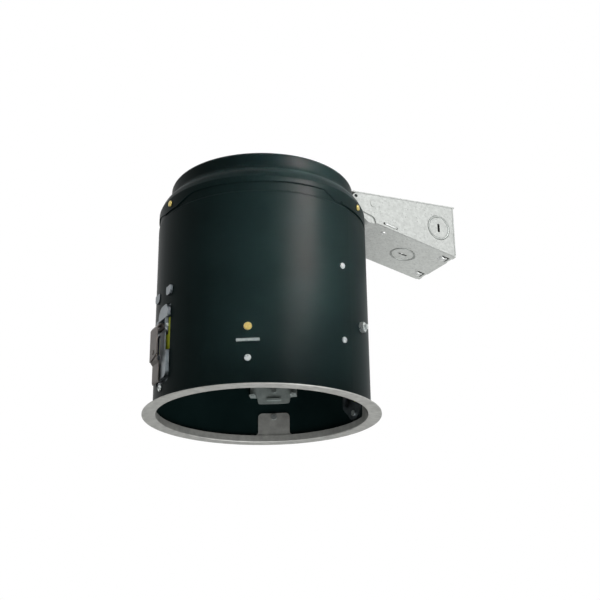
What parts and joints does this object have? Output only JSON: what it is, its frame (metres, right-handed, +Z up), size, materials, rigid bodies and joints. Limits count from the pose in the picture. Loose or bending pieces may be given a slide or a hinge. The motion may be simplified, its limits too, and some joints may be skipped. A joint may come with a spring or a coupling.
{
  "type": "recessed light housing",
  "caption": "Black steel can that holds a lamp above a ceiling opening, with a flanged ring, swing-out ceiling clips and a galvanised junction box on its arm.",
  "frame": {"origin": "centre of the trim opening, in the plane of the finished ceiling, which is the upper face of the ring's flange", "axes": "+Z up along the can, +X from the can to the junction box, +Y by the right hand"},
  "size_m": [0.2572, 0.178, 0.1964],
  "materials": {
    "black_enamel": "satin black baked enamel on steel sheet",
    "ring_zinc": "dull zinc-plated steel",
    "bracket_zinc": "dark zinc-plated spring steel",
    "galvanised_sheet": "spangled galvanised steel sheet",
    "brass_rivets": "bright brass-plated rivets",
    "steel_rivets": "bright zinc-plated rivets and screws",
    "clip_steel": "brown-grey tempered spring steel",
    "lime_plastic": "lime green moulded plastic",
    "black_rubber": "black nylon",
    "protector_case": "cream phenolic case",
    "porcelain": "white glazed porcelain",
    "shell_metal": "bright drawn aluminium screw shell",
    "contact_brass": "spring brass",
    "ground_green": "green dyed steel"
  },
  "bodies": {
    "housing": {"ceiling_ring": "ring_zinc", "ring_rivets": "steel_rivets", "outer_shell": "black_enamel", "top_cap": "black_enamel", "ear_rivets": "brass_rivets", "seam_screws": "steel_rivets", "side_bolt": "steel_rivets", "side_nut": "steel_rivets", "trim_bracket_front": "bracket_zinc", "trim_bracket_rear": "bracket_zinc", "trim_rivets": "brass_rivets", "clip_rivets": "steel_rivets", "box_top": "galvanised_sheet", "box_floor": "galvanised_sheet", "arm_rivets": "steel_rivets", "ground_screw": "ground_green", "lead_bushing": "black_rubber", "thermal_protector": "protector_case", "protector_strap": "bracket_zinc", "socket_strap": "galvanised_sheet", "strap_rivets": "steel_rivets", "clip_carrier_left": "bracket_zinc", "clip_shield_left": "lime_plastic", "clip_pin_left": "steel_rivets", "clip_carrier_right": "bracket_zinc", "clip_shield_right": "lime_plastic", "clip_pin_right": "steel_rivets"},
    "clip_left": {"clip_leaf_left": "clip_steel", "clip_foot_left": "clip_steel", "clip_leaf_rivet_left": "steel_rivets"},
    "clip_right": {"clip_leaf_right": "clip_steel", "clip_foot_right": "clip_steel", "clip_leaf_rivet_right": "steel_rivets"},
    "socket_carriage": {"socket_plate": "galvanised_sheet", "clamp_bolt": "steel_rivets", "lampholder_body": "porcelain", "screw_shell": "shell_metal", "centre_contact": "contact_brass", "holder_screws": "steel_rivets"},
    "wing_nut": {"wing_nut": "steel_rivets"},
    "near_cover": {"near_cover": "galvanised_sheet"},
    "far_cover": {"far_cover": "galvanised_sheet"}
  },
  "joints": [
    {"name": "clip_left_swing", "type": "hinge", "parent": "housing", "child": "clip_left", "pos_m": [-0.0809, 0, 0.057], "axis": [0, 1, 0], "range_deg": [0, 40]},
    {"name": "clip_right_swing", "type": "hinge", "parent": "housing", "child": "clip_right", "pos_m": [0.0809, 0, 0.057], "axis": [0, -1, 0], "range_deg": [0, 40]},
    {"name": "socket_height", "type": "slide", "parent": "housing", "child": "socket_carriage", "axis": [0, 0, 1], "range_m": [-0.038, 0.012]},
    {"name": "wing_nut_spin", "type": "hinge", "parent": "socket_carriage", "child": "wing_nut", "pos_m": [-0.0484, 0, 0.155], "axis": [1, 0, 0], "continuous": true},
    {"name": "near_cover_drop", "type": "hinge", "parent": "housing", "child": "near_cover", "pos_m": [0.1027, -0.0288, 0.16213], "axis": [0.9811, 0, -0.1933], "range_deg": [0, 90]},
    {"name": "far_cover_drop", "type": "hinge", "parent": "housing", "child": "far_cover", "pos_m": [0.1027, 0.0288, 0.16213], "axis": [-0.9811, 0, 0.1933], "range_deg": [0, 90]}
  ]
}
